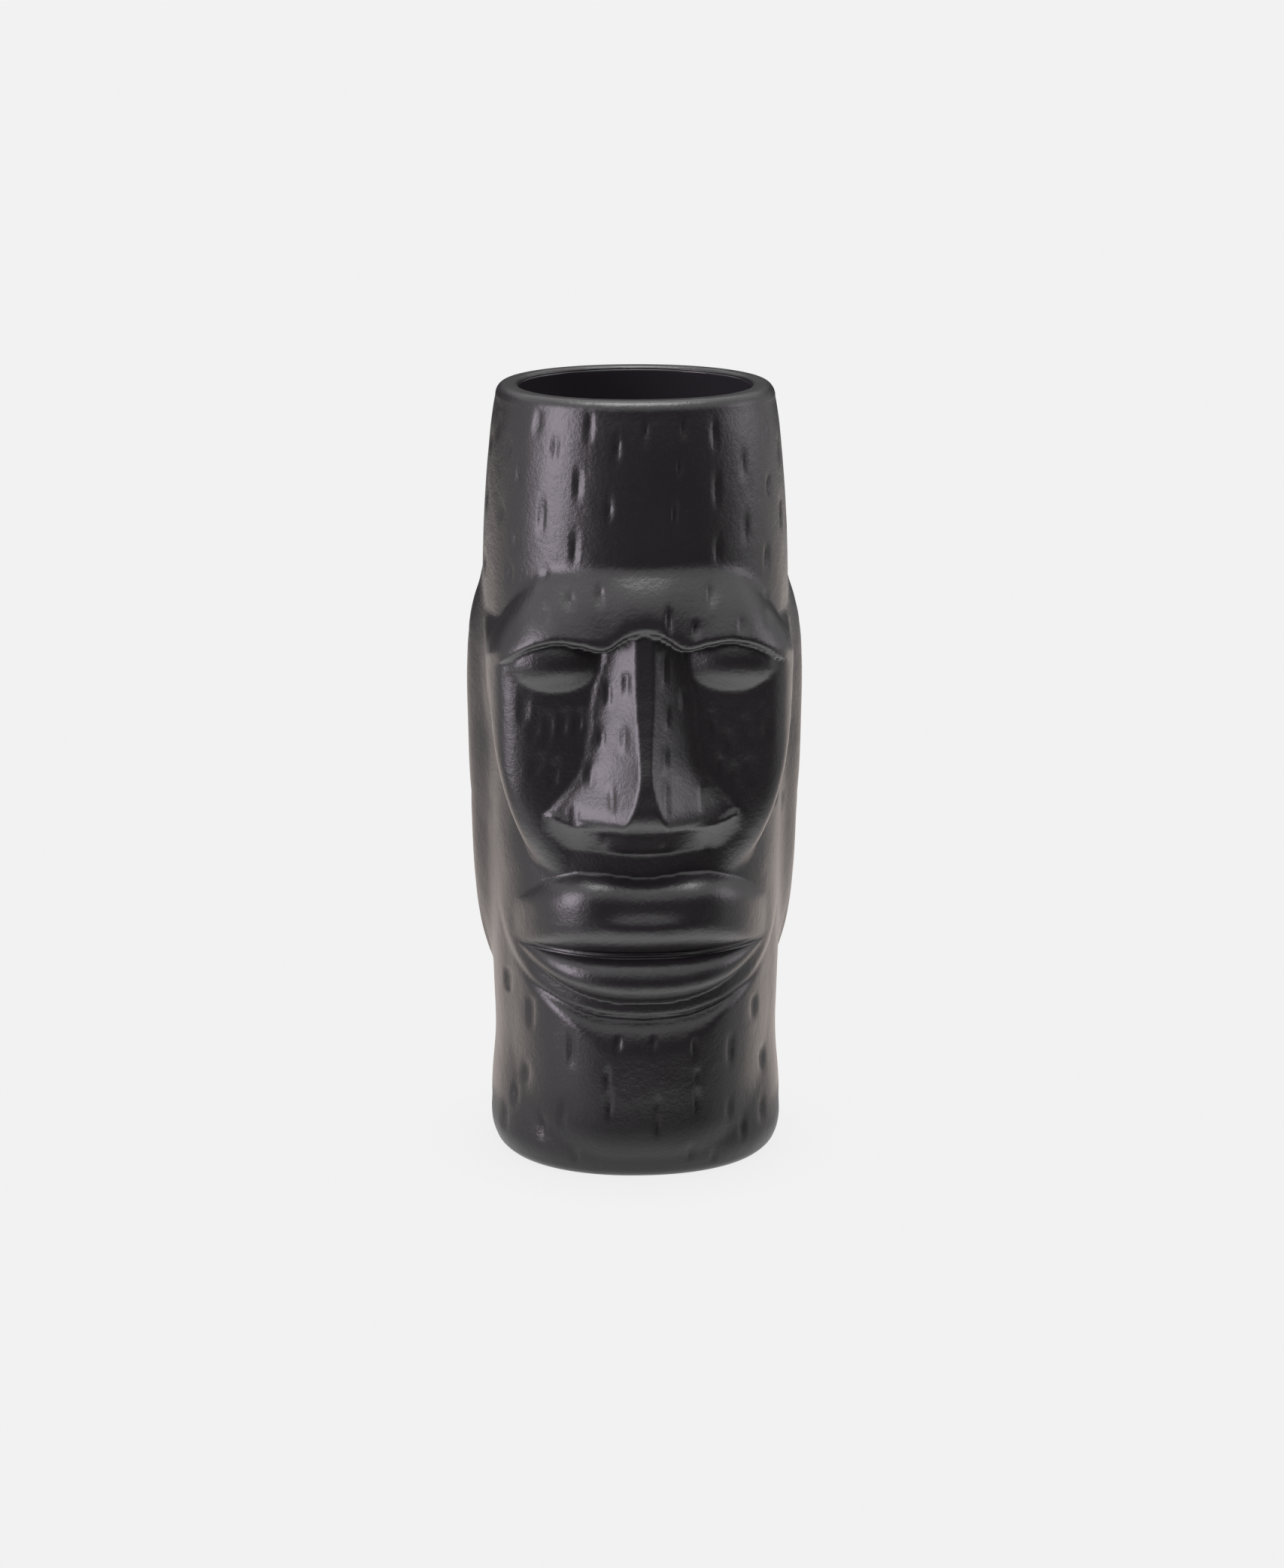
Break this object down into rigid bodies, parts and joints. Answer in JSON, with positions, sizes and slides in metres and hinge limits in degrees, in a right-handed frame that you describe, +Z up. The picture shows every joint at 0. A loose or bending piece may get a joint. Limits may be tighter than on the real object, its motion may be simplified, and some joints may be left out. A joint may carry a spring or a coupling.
{
  "type": "tiki mug",
  "caption": "Tall ceramic tiki mug in the form of a stylised stone head with heavy brow, long nose, closed eyes and long ears, satin black glaze.",
  "frame": {"origin": "on the mug's upright axis, in the plane of the foot ring that it stands on", "axes": "+Z up out of the mouth; the face looks towards -Y; +X is to the right when looking at the face"},
  "size_m": [0.078, 0.0823, 0.18],
  "materials": {
    "fired_clay": "bare fired stoneware, matte",
    "satin_glaze": "satin black glaze with a fine grain",
    "gloss_glaze": "glossy black liner glaze"
  },
  "bodies": {
    "root": {"clay_body": "fired_clay", "outer_glaze": "satin_glaze", "liner_glaze": "gloss_glaze", "base_glaze": "satin_glaze"}
  },
  "joints": []
}
